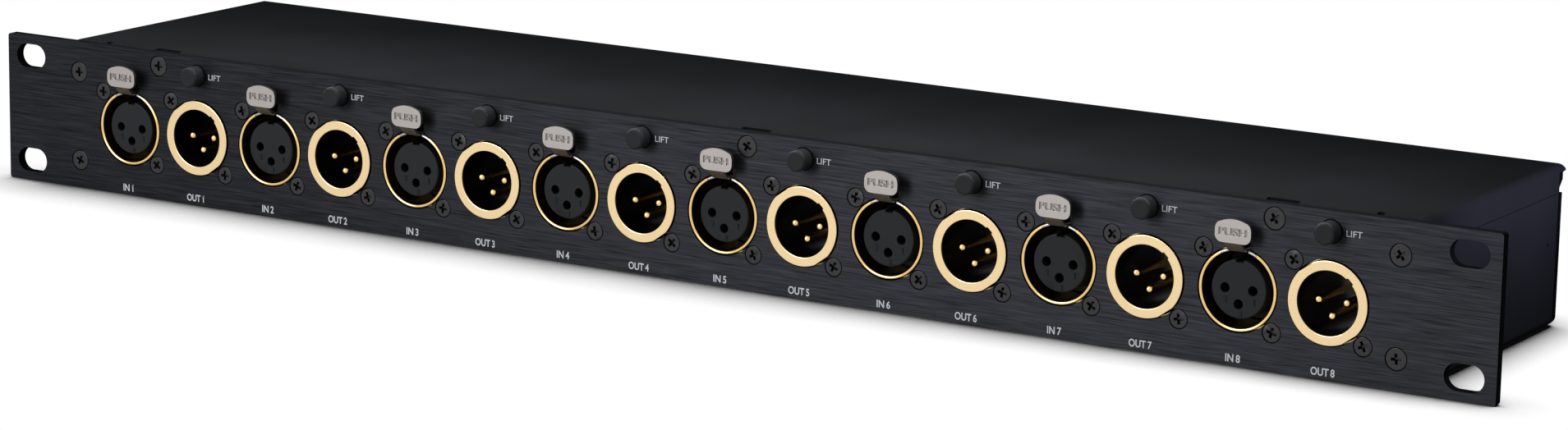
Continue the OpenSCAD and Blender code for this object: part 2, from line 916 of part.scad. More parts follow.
// Three gold pins with round tips, held in the cup's floor
module output_pin_set() {
    pin_r = pin_d / 2;
    color("#d9b46a")
    for (p = pins)
        translate([p[0], 0, p[1]])
            turned() {
                intersection() {
                    translate([0, pin_recess + pin_r])
                        circle(pin_r);
                    pane([0, pin_recess], [pin_r, pin_recess + pin_r]);
                }
                pane([0, pin_recess + pin_r], [pin_r, cup_depth + cup_floor_t]);
                pane([0, cup_depth + cup_floor_t], [tail_d / 2, tail_end]);
            }
}

// Black push-button cap with a square socket in its back
module lift_cap() {
    cap_r = cap_d / 2;
    hole_w = plunger_w + square_gap;
    color("#26282b")
    difference() {
        turned()
            polygon([
                [0, -cap_proud],
                [cap_r - cap_chamfer, -cap_proud],
                [cap_r, cap_chamfer - cap_proud],
                [cap_r, cap_back],
                [0, cap_back]
            ]);
        block(
            [-hole_w / 2, plunger_front - square_gap, -hole_w / 2],
            [hole_w / 2, cap_back + cut, hole_w / 2]
        );
    }
}

// White square plunger of the switch
module lift_plunger() {
    color("#d8d6cf")
    block(
        [-plunger_w / 2, plunger_front, -plunger_w / 2],
        [plunger_w / 2, switch_front + plunger_in_switch, plunger_w / 2]
    );
}

// Puts a button's parts at each of the given places
module on_buttons(places) {
    for (x = places)
        translate([x, front_y, button_up])
            children();
}

// Push-push switch bodies, soldered to the board
module lift_switches() {
    bore_w = plunger_w + 2 * square_gap;
    color("#3a3c40")
    on_buttons(output_x)
        difference() {
            block([-switch_w / 2, switch_front, -switch_w / 2], [switch_w / 2, board_depth, switch_w / 2]);
            block(
                [-bore_w / 2, switch_front - cut, -bore_w / 2],
                [bore_w / 2, switch_front + switch_bore_l, bore_w / 2]
            );
        }
}

// Circuit board behind the front sockets, with a hole for each solder tail
module circuit_board() {
    board_y = front_y + board_depth;
    color("#1f5a3a")
    difference() {
        block([-board_half_w, board_y, board_low_z], [board_half_w, board_y + board_t, board_top_z]);
        on_front(concat(input_x, output_x))
            for (p = pins)
                translate([p[0], 0, p[1]])
                    rod(tail_d / 2 + fit_gap, board_depth - cut, board_depth + board_t + cut);
    }
}

// Flat three-core leads from the board to the rear sockets, moulded at both ends
module flat_leads() {
    board_back_y = front_y + board_depth + board_t;
    socket_half_w = pin_circle_r + lead_socket_rim;
    color("#8a8d92")
    for (x = rear_x)
        translate([x, 0, socket_z]) {
            block(
                [-lead_plug[0] / 2, board_back_y, -lead_plug[2] / 2],
                [lead_plug[0] / 2, board_back_y + lead_plug[1], lead_plug[2] / 2]
            );
            block([-lead_w / 2, board_back_y, -lead_t / 2], [lead_w / 2, rear_tail_y, lead_t / 2]);
            block(
                [-socket_half_w, rear_tail_y - lead_socket_l, -socket_half_w],
                [socket_half_w, rear_tail_y, tail_d + lead_t]
            );
        }
}

front_panel();
base_tray();
top_cover();
panel_screws();
cover_screws();
socket_screws_all();  // socket_screws
input_inserts();
input_contacts();
latch_brackets();
latch_pins();
on_front(output_x) output_cup();  // output_cups
on_front(output_x) output_pin_set();  // output_pins
lift_switches();
circuit_board();
flat_leads();
on_rear(rear_x) output_shell(tray_t);  // rear_shells
on_rear(rear_x) output_cup();  // rear_cups
on_rear(rear_x) output_pin_set();  // rear_pins
for (i = [0 : channels - 1]) {
    on_front([input_x[i]]) input_shell();
    on_front([input_x[i]]) latch();
    on_front([output_x[i]]) output_shell(panel_t);
    on_buttons([output_x[i]]) lift_cap();
    on_buttons([output_x[i]]) lift_plunger();
}
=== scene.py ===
import math

import bmesh
import bpy
from mathutils import Matrix, Vector


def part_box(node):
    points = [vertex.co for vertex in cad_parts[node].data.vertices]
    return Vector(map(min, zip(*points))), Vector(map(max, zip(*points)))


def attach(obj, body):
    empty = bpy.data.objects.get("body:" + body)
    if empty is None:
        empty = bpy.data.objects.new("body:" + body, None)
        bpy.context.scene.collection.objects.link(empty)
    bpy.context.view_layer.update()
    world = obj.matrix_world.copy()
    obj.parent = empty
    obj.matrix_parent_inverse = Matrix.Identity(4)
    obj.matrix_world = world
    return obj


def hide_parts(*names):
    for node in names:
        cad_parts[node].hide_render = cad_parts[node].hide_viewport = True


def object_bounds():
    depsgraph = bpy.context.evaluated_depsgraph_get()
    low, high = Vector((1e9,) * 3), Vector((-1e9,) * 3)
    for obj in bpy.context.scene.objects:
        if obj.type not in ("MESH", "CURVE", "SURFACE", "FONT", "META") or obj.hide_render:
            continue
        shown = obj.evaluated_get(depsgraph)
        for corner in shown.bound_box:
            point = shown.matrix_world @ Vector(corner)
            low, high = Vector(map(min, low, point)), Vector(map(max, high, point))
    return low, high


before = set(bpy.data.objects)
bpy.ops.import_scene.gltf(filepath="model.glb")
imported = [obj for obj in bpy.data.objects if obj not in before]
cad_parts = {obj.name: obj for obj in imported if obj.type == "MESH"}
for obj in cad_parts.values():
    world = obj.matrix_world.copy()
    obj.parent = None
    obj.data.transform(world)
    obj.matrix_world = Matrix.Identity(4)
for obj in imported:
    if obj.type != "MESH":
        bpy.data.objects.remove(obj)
cad_box = [list(corner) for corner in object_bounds()]
scene = bpy.context.scene


# Base tray and top cover
# Two folded pieces of 2 mm steel sheet, punched and bent, that make the shallow chassis.
# They are powder coated, which leaves a fine, soft grain and hardly any gloss.

mm = 0.001


def linear(text):
    """Linear colour of an sRGB hex value."""
    values = [int(text[k:k + 2], 16) / 255 for k in (1, 3, 5)]
    return [v / 12.92 if v <= 0.04045 else ((v + 0.055) / 1.055) ** 2.4 for v in values] + [1]


def finish(name):
    """Starts an empty material that is named for its finish."""
    material = bpy.data.materials.new(name)
    material.use_nodes = True
    material.node_tree.nodes.clear()
    return material


def add(owner, kind, inputs, **settings):
    """Adds a node, gives it its settings, and fills its inputs by a value or by a link."""
    node = owner.node_tree.nodes.new(kind)
    for name, value in settings.items():
        setattr(node, name, value)
    for key, value in inputs.items():
        if isinstance(value, bpy.types.NodeSocket):
            owner.node_tree.links.new(value, node.inputs[key])
        else:
            node.inputs[key].default_value = value
    return node


def coat(material, *names):
    """Puts a material on pieces of the frame."""
    for name in names:
        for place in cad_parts[name].material_slots:
            place.material = material


# Powder coat: baked resin grains melt into a skin with soft bumps about half a millimetre wide,
# drawn a little coarser than they are so that they show. The cut edges at the ends of the rear
# wall are darkened nearly to black as painted shade.
powder_grain = 0.5
powder_cloud = 30
edge_w = 2.4
edge_deep = 0.05
powder = finish("powder_coat_black")
spot = add(powder, "ShaderNodeTexCoord", {}).outputs["Object"]
grain = add(powder, "ShaderNodeTexNoise", {"Vector": spot, "Scale": 1 / (powder_grain * mm), "Detail": 2})
cloud = add(powder, "ShaderNodeTexNoise", {"Vector": spot, "Scale": 1 / (powder_cloud * mm), "Detail": 1})
tint = add(powder, "ShaderNodeMix", {
    0: cloud.outputs["Fac"],
    6: linear("#151617"),
    7: linear("#1c1d1f"),
}, data_type="RGBA")
axes = add(powder, "ShaderNodeSeparateXYZ", {"Vector": spot})
outward = add(powder, "ShaderNodeMath", {0: axes.outputs["X"]}, operation="ABSOLUTE")
tray_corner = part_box("base_tray")[1]
at_end = add(powder, "ShaderNodeMath", {
    0: outward.outputs["Value"],
    1: tray_corner.x - edge_deep * mm,
}, operation="GREATER_THAN")
at_rear = add(powder, "ShaderNodeMath", {
    0: axes.outputs["Y"],
    1: tray_corner.y - edge_w * mm,
}, operation="GREATER_THAN")
# Painted shade: the cut edges at both ends of the rear wall are darkened nearly to black.
painted_shade_edge = add(powder, "ShaderNodeMath", {
    0: at_end.outputs["Value"],
    1: at_rear.outputs["Value"],
}, operation="MULTIPLY")
tint = add(powder, "ShaderNodeMix", {
    0: painted_shade_edge.outputs["Value"],
    6: tint.outputs[2],
    7: linear("#08080a"),
}, data_type="RGBA")
gloss = add(powder, "ShaderNodeMapRange", {"Value": grain.outputs["Fac"], "To Min": 0.5, "To Max": 0.65})
bumps = add(powder, "ShaderNodeBump", {
    "Height": grain.outputs["Fac"],
    "Strength": 0.15,
    "Distance": 0.02 * mm,
})
shader = add(powder, "ShaderNodeBsdfPrincipled", {
    "Base Color": tint.outputs[2],
    "Roughness": gloss.outputs["Result"],
    "Specular IOR Level": 0,
    "Normal": bumps.outputs["Normal"],
})
add(powder, "ShaderNodeOutputMaterial", {"Surface": shader.outputs["BSDF"]})
coat(powder, "base_tray", "top_cover")


# Front panel
# A 3 mm aluminium plate with rack ears, brushed from side to side and anodised black.
# Seven countersunk screws hold it to the folded flanges behind it.

# Anodised, brushed aluminium: fine level scratches under a clear black oxide, which catch the
# light in streaks. Real ones lie about 0.05 mm apart, so they are drawn coarser to show.
# Only the front face is brushed: its edges and slots stay as cut, plain and darker.
front_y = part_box("front_panel")[0].y
brushed_deep = 0.02
scratch_pitch = 0.13
scratch_len = 10
band_pitch = 0.8
band_len = 30
band_share = 0.18
anodised = finish("anodised_brushed_aluminium_black")
spot = add(anodised, "ShaderNodeTexCoord", {}).outputs["Object"]
level = add(anodised, "ShaderNodeMapping", {
    "Vector": spot,
    "Scale": [1 / (scratch_len * mm), 1 / (scratch_len * mm), 1 / (scratch_pitch * mm)],
})
scratches = add(anodised, "ShaderNodeTexNoise", {
    "Vector": level.outputs["Vector"],
    "Scale": 1,
    "Detail": 3,
})
wide = add(anodised, "ShaderNodeMapping", {
    "Vector": spot,
    "Scale": [1 / (band_len * mm), 1 / (band_len * mm), 1 / (band_pitch * mm)],
})
bands = add(anodised, "ShaderNodeTexNoise", {
    "Vector": wide.outputs["Vector"],
    "Scale": 1,
    "Detail": 2,
})
streaks = add(anodised, "ShaderNodeMix", {
    0: band_share,
    2: scratches.outputs["Fac"],
    3: bands.outputs["Fac"],
}, data_type="FLOAT")
contrast = add(anodised, "ShaderNodeMapRange", {
    "Value": streaks.outputs[0],
    "From Min": 0.3,
    "From Max": 0.7,
})
streaked = add(anodised, "ShaderNodeMix", {
    0: contrast.outputs["Result"],
    6: linear("#0f1012"),
    7: linear("#34353a"),
}, data_type="RGBA")
axes = add(anodised, "ShaderNodeSeparateXYZ", {"Vector": spot})
cut_edge = add(anodised, "ShaderNodeMath", {
    0: axes.outputs["Y"],
    1: front_y + brushed_deep * mm,
}, operation="GREATER_THAN")
tint = add(anodised, "ShaderNodeMix", {
    0: cut_edge.outputs["Value"],
    6: streaked.outputs[2],
    7: linear("#121315"),
}, data_type="RGBA")
gloss = add(anodised, "ShaderNodeMapRange", {
    "Value": contrast.outputs["Result"],
    "To Min": 0.36,
    "To Max": 0.46,
})
bumps = add(anodised, "ShaderNodeBump", {
    "Height": scratches.outputs["Fac"],
    "Strength": 0.25,
    "Distance": 0.01 * mm,
})
sheen = add(anodised, "ShaderNodeMapRange", {
    "Value": cut_edge.outputs["Value"],
    "To Min": 0.65,
    "To Max": 0,
})
shader = add(anodised, "ShaderNodeBsdfPrincipled", {
    "Base Color": tint.outputs[2],
    "Metallic": sheen.outputs["Result"],
    "Roughness": gloss.outputs["Result"],
    "Specular IOR Level": 0,
    "Anisotropic": 0.85,
    "Anisotropic Rotation": 0.25,
    "Normal": bumps.outputs["Normal"],
})
add(anodised, "ShaderNodeOutputMaterial", {"Surface": shader.outputs["BSDF"]})
coat(anodised, "front_panel")


# Output shells
# Turned brass rings with a flat face, a key notch in the bore and two flats beside the screws.
# A flange behind the panel takes the screws. Gold plated, with a fine satin face.

channels = range(1, 9)
ring_r = 11.05
ring_bore_r = 8.5
ring_proud = 0.6
ring_lip = 0.8
tube_wall = 1.25
tube_depth = 14
ring_edge = 0.18
flat_angles = (126, -54)
flat_r = 10.7
key_angle = 47
key_w = 2.2
key_deep = 0.5
key_corner = 0.25
flange_w = 25
flange_h = 26
flange_t = 2
flange_corner = 2.5
panel_t = 3

# Steps of a full turn, how far a cutter reaches past what it cuts, how close two points count as
# one, and how much of an edge's length lies along an axis that it is parallel to.
turn_steps = 96
past = 1
weld = 0.0001
nearly_all = 0.99

# Turns in degrees: below the first, faces merge into one, and from the last on, an edge is sharp.
# Above the second it is sharp too if one of its faces is so many times larger than the other.
flat_turn = 0.5
soft_turn = 4
sharp_turn = 32
flat_to_edge = 15


def turned(profile, steps):
    """Turns a profile of radius and depth about the Y axis into a closed solid."""
    shape = bmesh.new()
    verts = [shape.verts.new((r, y, 0)) for r, y in profile]
    ends = verts[1:] if profile[0][0] == 0 else verts[1:] + verts[:1]
    edges = [shape.edges.new(pair) for pair in zip(verts, ends)]
    bmesh.ops.spin(
        shape, geom=verts + edges, cent=(0, 0, 0), axis=(0, 1, 0), dvec=(0, 0, 0),
        angle=2 * math.pi, steps=steps, use_merge=True, use_duplicate=False,
    )
    bmesh.ops.remove_doubles(shape, verts=shape.verts, dist=weld)
    bmesh.ops.recalc_face_normals(shape, faces=shape.faces)
    return shape


def block(low, high):
    """Box between two corners."""
    shape = bmesh.new()
    low, high = Vector(low), Vector(high)
    bmesh.ops.create_cube(
        shape, size=1,
        matrix=Matrix.Translation((low + high) / 2) @ Matrix.Diagonal((*(high - low), 1)),
    )
    return shape


def rod(r, low, high, segments=32):
    """Round rod along Y between two points with the same X and Z."""
    shape = bmesh.new()
    low, high = Vector(low), Vector(high)
    bmesh.ops.create_cone(
        shape, cap_ends=True, segments=segments, radius1=r, radius2=r, depth=high.y - low.y,
        matrix=Matrix.Translation((low + high) / 2) @ Matrix.Rotation(math.pi / 2, 4, "X"),
    )
    return shape


def rounded(shape, width, segments=2, angle=30):
    """Rounds all edges that are sharper than an angle in degrees."""
    edges = [e for e in shape.edges if e.is_manifold and e.calc_face_angle() > math.radians(angle)]
    bmesh.ops.bevel(
        shape, geom=edges, offset=width, segments=segments, profile=0.5, affect="EDGES",
        material=-1, clamp_overlap=True,
    )
    return shape


def moved(shape, matrix):
    """Moves a shape and returns it."""
    shape.transform(matrix)
    return shape


def carved(solid, cutter, operation="DIFFERENCE"):
    """Cuts a closed shape by another, or joins the two, and returns the result."""
    bodies = []
    for shape in (solid, cutter):
        mesh = bpy.data.meshes.new("carving")
        shape.to_mesh(mesh)
        shape.free()
        body = bpy.data.objects.new("carving", mesh)
        scene.collection.objects.link(body)
        bodies.append(body)
    tool = bodies[0].modifiers.new("carving", "BOOLEAN")
    tool.operation = operation
    tool.solver = "EXACT"
    tool.object = bodies[1]
    result = bmesh.new()
    result.from_object(bodies[0], bpy.context.evaluated_depsgraph_get())
    for body in bodies:
        mesh = body.data
        bpy.data.objects.remove(body)
        bpy.data.meshes.remove(mesh)
    return result


def joined(*shapes):
    """Puts closed shapes together in one, without cutting them."""
    whole = bmesh.new()
    for shape in shapes:
        mesh = bpy.data.meshes.new("joining")
        shape.to_mesh(mesh)
        shape.free()
        whole.from_mesh(mesh)
        bpy.data.meshes.remove(mesh)
    return whole


def copies(shape, places):
    """Joins a copy of a shape in millimetres at each place, in metres."""
    mesh = bpy.data.meshes.new("copying")
    shape.to_mesh(mesh)
    shape.free()
    whole = bmesh.new()
    for place in places:
        one = mesh.copy()
        one.transform(place @ Matrix.Scale(mm, 4))
        whole.from_mesh(one)
        bpy.data.meshes.remove(one)
    bpy.data.meshes.remove(mesh)
    return whole


def piece(name, shape, material, body, slot, *nodes):
    """Makes an object of a shape, in metres, that rides on a body and stands for its nodes.

    Corners are sharp, and so is the line between a flat face and its narrow rounded edge.
    """
    bmesh.ops.dissolve_limit(
        shape, angle_limit=math.radians(flat_turn), verts=shape.verts, edges=shape.edges,
    )
    for face in shape.faces:
        face.smooth = True
    for edge in shape.edges:
        areas = sorted(f.calc_area() for f in edge.link_faces)
        turn = edge.calc_face_angle(math.pi)
        beside_flat = turn > math.radians(soft_turn) and areas[-1] > flat_to_edge * areas[0]
        edge.smooth = turn < math.radians(sharp_turn) and not beside_flat
    mesh = bpy.data.meshes.new(name)
    shape.to_mesh(mesh)
    shape.free()
    mesh.materials.append(material)
    thing = bpy.data.objects.new(name, mesh)
    scene.collection.objects.link(thing)
    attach(thing, body)
    if nodes:
        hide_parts(*nodes)
    return thing


def socket_place(name):
    """Place of a front socket's axis on the panel's front face, from the middle of its flange."""
    low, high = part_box(name)
    return Matrix.Translation(((low.x + high.x) / 2, front_y, (low.z + high.z) / 2))


def on_axis(edge):
    """Tells whether an edge lies along the Y axis."""
    way = edge.verts[1].co - edge.verts[0].co
    return abs(way.y) > nearly_all * way.length


def flange(wall, hole_r):
    """Plate behind a wall, with round corners and a hole for the shell."""
    plate = block(
        (-flange_w / 2, wall, -flange_h / 2),
        (flange_w / 2, wall + flange_t, flange_h / 2),
    )
    corners = [e for e in plate.edges if on_axis(e)]
    bmesh.ops.bevel(
        plate, geom=corners, offset=flange_corner, segments=5, profile=0.5, affect="EDGES", material=-1,
    )
    hole = rod(hole_r, (0, wall - past, 0), (0, wall + flange_t + past, 0), turn_steps)
    return carved(plate, hole)


def output_shell(wall):
    """Ring, tube and flange of a plug socket, with its flats and its key notch."""
    lip_back = ring_lip - ring_proud
    ring = rounded(turned([
        (ring_bore_r, -ring_proud),
        (ring_r, -ring_proud),
        (ring_r, tube_depth),
        (ring_r - tube_wall, tube_depth),
        (ring_r - tube_wall, lip_back),
        (ring_bore_r, lip_back),
    ], turn_steps), ring_edge, segments=3)
    for angle in flat_angles:
        slab = block((flat_r, -ring_proud - past, -ring_r), (ring_r + past, wall, ring_r))
        ring = carved(ring, moved(slab, Matrix.Rotation(math.radians(-angle), 4, "Y")))
    notch = block(
        (ring_bore_r - key_w, -ring_proud - past, -key_w / 2),
        (ring_bore_r + key_deep, lip_back + past, key_w / 2),
    )
    corners = [e for e in notch.edges if min(v.co.x for v in e.verts) > ring_bore_r and on_axis(e)]
    bmesh.ops.bevel(
        notch, geom=corners, offset=key_corner, segments=4, profile=0.5, affect="EDGES", material=-1,
    )
    ring = carved(ring, moved(notch, Matrix.Rotation(math.radians(-key_angle), 4, "Y")))
    return joined(ring, flange(wall, ring_r - tube_wall / 2))


# Satin gold plate: a thin gold layer on turned brass, whose fine tool marks show as a soft sheen
# with grains about 0.3 mm wide.
gold_grain = 0.3
gold = finish("gold_plate_satin")
spot = add(gold, "ShaderNodeTexCoord", {}).outputs["Object"]
grain = add(gold, "ShaderNodeTexNoise", {"Vector": spot, "Scale": 1 / (gold_grain * mm), "Detail": 3})
tint = add(gold, "ShaderNodeMix", {
    0: grain.outputs["Fac"],
    6: linear("#dcbf8d"),
    7: linear("#eed6ac"),
}, data_type="RGBA")
gloss = add(gold, "ShaderNodeMapRange", {"Value": grain.outputs["Fac"], "To Min": 0.16, "To Max": 0.26})
bumps = add(gold, "ShaderNodeBump", {
    "Height": grain.outputs["Fac"],
    "Strength": 0.2,
    "Distance": 0.02 * mm,
})
shader = add(gold, "ShaderNodeBsdfPrincipled", {
    "Base Color": tint.outputs[2],
    "Metallic": 1,
    "Roughness": gloss.outputs["Result"],
    "Normal": bumps.outputs["Normal"],
})
add(gold, "ShaderNodeOutputMaterial", {"Surface": shader.outputs["BSDF"]})

for k in channels:
    node = f"output_shell_{k}"
    shell = copies(output_shell(panel_t), [socket_place(node)])
    piece(f"ring_shell_{k}", shell, gold, "chassis", "gold_plate", node)


# Output cups and pins
# Black moulded cups line the rings and hold three gold pins with round tips.
# The cups have the bright moulded skin of nylon, in which the pins are faintly mirrored.

pin_circle_r = 3.96
pin_r = 1.2
pin_recess = 2
pin_back = 16.5
tail_r = 0.5
tail_end = 23.1
pin_spots = ((-pin_circle_r, 0), (pin_circle_r, 0), (0, -pin_circle_r))
tip_steps = 6
pin_steps = 24

# Moulded black nylon: a smooth skin with a slight waviness of about 3 mm.
nylon_wave = 3
nylon = finish("moulded_nylon_black_gloss")
spot = add(nylon, "ShaderNodeTexCoord", {}).outputs["Object"]
wave = add(nylon, "ShaderNodeTexNoise", {"Vector": spot, "Scale": 1 / (nylon_wave * mm), "Detail": 1})
tint = add(nylon, "ShaderNodeMix", {
    0: wave.outputs["Fac"],
    6: linear("#050506"),
    7: linear("#0b0b0d"),
}, data_type="RGBA")
gloss = add(nylon, "ShaderNodeMapRange", {"Value": wave.outputs["Fac"], "To Min": 0.12, "To Max": 0.24})
shader = add(nylon, "ShaderNodeBsdfPrincipled", {
    "Base Color": tint.outputs[2],
    "Roughness": gloss.outputs["Result"],
    "Specular IOR Level": 0.25,
})
add(nylon, "ShaderNodeOutputMaterial", {"Surface": shader.outputs["BSDF"]})
coat(nylon, "output_cups", "rear_cups")

gold_cloud = 1.5


def turned_gold(name, dark, pale, smooth, rough):
    """Gold plate on smooth turned parts, with faint clouds of wear about 1.5 mm wide."""
    plate = finish(name)
    spot = add(plate, "ShaderNodeTexCoord", {}).outputs["Object"]
    cloud = add(plate, "ShaderNodeTexNoise", {
        "Vector": spot,
        "Scale": 1 / (gold_cloud * mm),
        "Detail": 2,
    })
    tint = add(plate, "ShaderNodeMix", {
        0: cloud.outputs["Fac"],
        6: linear(dark),
        7: linear(pale),
    }, data_type="RGBA")
    gloss = add(plate, "ShaderNodeMapRange", {
        "Value": cloud.outputs["Fac"],
        "To Min": smooth,
        "To Max": rough,
    })
    shader = add(plate, "ShaderNodeBsdfPrincipled", {
        "Base Color": tint.outputs[2],
        "Metallic": 1,
        "Roughness": gloss.outputs["Result"],
    })
    add(plate, "ShaderNodeOutputMaterial", {"Surface": shader.outputs["BSDF"]})
    return plate


# Bright gold for pins and rims.
bright_gold = turned_gold("gold_plate_bright", "#e2b86e", "#f4d496", 0.08, 0.18)


def contact_pin():
    """Pin with a round tip and a solder tail."""
    tip = []
    for k in range(tip_steps + 1):
        a = math.radians(90) * k / tip_steps
        tip.append((pin_r * math.sin(a), pin_recess + pin_r * (1 - math.cos(a))))
    tail = [(pin_r, pin_back), (tail_r, pin_back), (tail_r, tail_end), (0, tail_end)]
    return turned(tip + tail, pin_steps)


def pin_places(place):
    """Places of the three pins of one socket."""
    return [place @ Matrix.Translation((x * mm, 0, z * mm)) for x, z in pin_spots]


front_outputs = [socket_place(f"output_shell_{k}") for k in channels]
output_pins = copies(contact_pin(), [p for place in front_outputs for p in pin_places(place)])
piece("contact_pins", output_pins, bright_gold, "chassis", "gold_plate", "output_pins")


# Input shells
# Turned brass tubes with a thin rolled rim, cut open at the top for the latch.
# The flange behind the panel takes the screws. Gold plated and polished.

rim_wall = 0.9
rim_proud = 0.2
rim_roll_r = 0.414
rim_depth = 15
gap_half_w = 5.05
gap_low = 8
gap_back = 13


def rim_tube(outer_r, depth):
    """Thin tube with a rolled rim."""
    return rounded(turned([
        (ring_r - rim_wall, -rim_proud),
        (outer_r, -rim_proud),
        (outer_r, depth),
        (ring_r - rim_wall, depth),
    ], turn_steps), rim_roll_r, segments=4)


def input_shell():
    """Thin tube with its gap for the latch, and its flange."""
    gap = block((-gap_half_w, -rim_proud - past, gap_low), (gap_half_w, gap_back, flange_h))
    plate = carved(
        flange(panel_t, ring_r - rim_wall / 2),
        block((-gap_half_w, 0, gap_low), (gap_half_w, gap_back, flange_h)),
    )
    return joined(carved(rim_tube(ring_r, rim_depth), gap), plate)


for k in channels:
    node = f"input_shell_{k}"
    shell = copies(input_shell(), [socket_place(node)])
    piece(f"rim_shell_{k}", shell, bright_gold, "chassis", "gold_plate", node)


# Input inserts and contacts
# Moulded dark grey inserts with three pin holes, a keyway at the top and raised pin numbers.
# Gold spring contacts sit in the holes.

insert_r = 7.8
insert_recess = 0.8
insert_back = 15
insert_base = 13
insert_base_r = 10.05
insert_edge = 0.35
entry_r = 1.35
entry_depth = 9
keyway_w = 2.4
keyway_deep = 0.8
number_h = 1.7
number_deep = 0.2
number_bold = 0.02
number_spots = (("2", -3.75, -3.0), ("1", 4.4, -3.0), ("3", 0.6, -6.6))

# Letter shapes are made one letter size high and one deep, with narrow gaps between words, and
# then scaled. Their figure one has no flag, so that is added, in parts of the letter size.
word_gap = 0.75
letter_half_t = 0.5
flag_len = 0.27
flag_w = 0.1
flag_turn = math.radians(38)


def lettering(text, width, height, deep, bold=0.0):
    """Words in the panel's plane, middle at the origin, facing the front."""
    words = bpy.data.curves.new("lettering", "FONT")
    words.body = text
    words.offset = bold
    words.extrude = letter_half_t
    words.space_word = word_gap
    sign = bpy.data.objects.new("lettering", words)
    scene.collection.objects.link(sign)
    mesh = bpy.data.meshes.new_from_object(sign.evaluated_get(bpy.context.evaluated_depsgraph_get()))
    shape = bmesh.new()
    shape.from_mesh(mesh)
    bpy.data.objects.remove(sign)
    bpy.data.curves.remove(words)
    bpy.data.meshes.remove(mesh)
    bmesh.ops.remove_doubles(shape, verts=shape.verts, dist=weld)
    low = Vector([min(v.co[k] for v in shape.verts) for k in range(3)])
    high = Vector([max(v.co[k] for v in shape.verts) for k in range(3)])
    if text.endswith("1"):
        flag = block((-flag_len, -flag_w, -letter_half_t), (0, 0, letter_half_t))
        flag.transform(Matrix.Translation((high.x, high.y, 0)) @ Matrix.Rotation(flag_turn, 4, "Z"))
        low.x = min([low.x] + [v.co.x for v in flag.verts])
        shape = joined(shape, flag)
    shape.transform(Matrix.Translation(-(low + high) / 2))
    if width is None:
        width = height * (high.x - low.x) / (high.y - low.y)
    shape.transform(Matrix.Diagonal((width / (high.x - low.x), height / (high.y - low.y), deep, 1)))
    shape.transform(Matrix.Rotation(math.pi / 2, 4, "X"))
    return shape


def input_insert():
    """Insert with its holes, keyway, base and raised numbers."""
    insert = rounded(turned([
        (0, insert_recess),
        (insert_r, insert_recess),
        (insert_r, insert_base),
        (insert_base_r, insert_base),
        (insert_base_r, insert_back),
        (0, insert_back),
    ], turn_steps), insert_edge)
    key = block(
        (-keyway_w / 2, 0, insert_r - keyway_deep),
        (keyway_w / 2, insert_base, insert_r + past),
    )
    insert = carved(insert, key)
    for x, z in pin_spots:
        insert = carved(insert, rod(entry_r, (x, 0, z), (x, entry_depth, z)))
    numbers = []
    for text, x, z in number_spots:
        digit = lettering(text, None, number_h, 2 * number_deep, number_bold)
        numbers.append(moved(digit, Matrix.Translation((x, insert_recess, z))))
    return joined(insert, *numbers)


# Moulded glass-filled nylon: dull dark grey with a spark-eroded grain about 0.25 mm wide.
insert_grain = 0.25
dull_nylon = finish("moulded_nylon_dark_grey")
spot = add(dull_nylon, "ShaderNodeTexCoord", {}).outputs["Object"]
grain = add(dull_nylon, "ShaderNodeTexNoise", {
    "Vector": spot,
    "Scale": 1 / (insert_grain * mm),
    "Detail": 2,
})
tint = add(dull_nylon, "ShaderNodeMix", {
    0: grain.outputs["Fac"],
    6: linear("#0f1114"),
    7: linear("#17191d"),
}, data_type="RGBA")
bumps = add(dull_nylon, "ShaderNodeBump", {
    "Height": grain.outputs["Fac"],
    "Strength": 0.25,
    "Distance": 0.02 * mm,
})
shader = add(dull_nylon, "ShaderNodeBsdfPrincipled", {
    "Base Color": tint.outputs[2],
    "Roughness": 0.55,
    "Specular IOR Level": 0.16,
    "Normal": bumps.outputs["Normal"],
})
add(dull_nylon, "ShaderNodeOutputMaterial", {"Surface": shader.outputs["BSDF"]})

front_inputs = [socket_place(f"input_shell_{k}") for k in channels]
inserts = copies(input_insert(), front_inputs)
piece("pin_inserts", inserts, dull_nylon, "chassis", "insert_plastic", "input_inserts")

# Gold darkened nearly to black for the spring contacts deep in the holes: painted shade, since the light
# hardly reaches them.
coat(turned_gold("gold_plate_painted_shade", "#241b0c", "#3a2d16", 0.4, 0.6), "input_contacts")


# Latch brackets, hinge pins and latches
# Each latch is stamped from 1 mm steel: a push tab with a sunk word, a neck, a folded arm with
# its hook, and a rolled barrel on the hinge pin. The bracket carries the pin. All nickel plated.

tab_w = 10.2
tab_low = 12.9
tab_h = 6.25
tab_crown = 1.5
tab_top_r = 1.5
tab_low_r = 2
tab_proud = 4
plate_t = 1
plate_edge = 0.42
neck_w = 5
bend_r = 1.5
bend_steps = 1
hinge_depth = 10
hinge_up = 12
barrel_r = 1.5
hinge_hole_r = 0.85
hook_w = 3.2
hook_low = 9
hook_front = 3
hook_back = 6.5
word_w = 7.9
word_h = 2.1
word_up = 15.8
word_deep = 0.25
word_stroke = 0.5
word_bold = 0.025
crown_cuts = 11
corner_steps = 6
same_place = 0.01
jaw_in = 2.75
jaw_out = 4.95
jaw_fit = 0.05
jaw_short = 0.1
cheek_fit = 0.1
swing_gap = 0.4
bridge_t = 0.8
bracket_back = hinge_depth + barrel_r + swing_gap + bridge_t
bracket_top = hinge_up + barrel_r + swing_gap


def hinge_rod(r, half_l):
    """Rod on the hinge's axis."""
    sideways = Matrix.Translation((0, hinge_depth, hinge_up)) @ Matrix.Rotation(math.pi / 2, 4, "Z")
    return moved(rod(r, (0, -half_l, 0), (0, half_l, 0)), sideways)


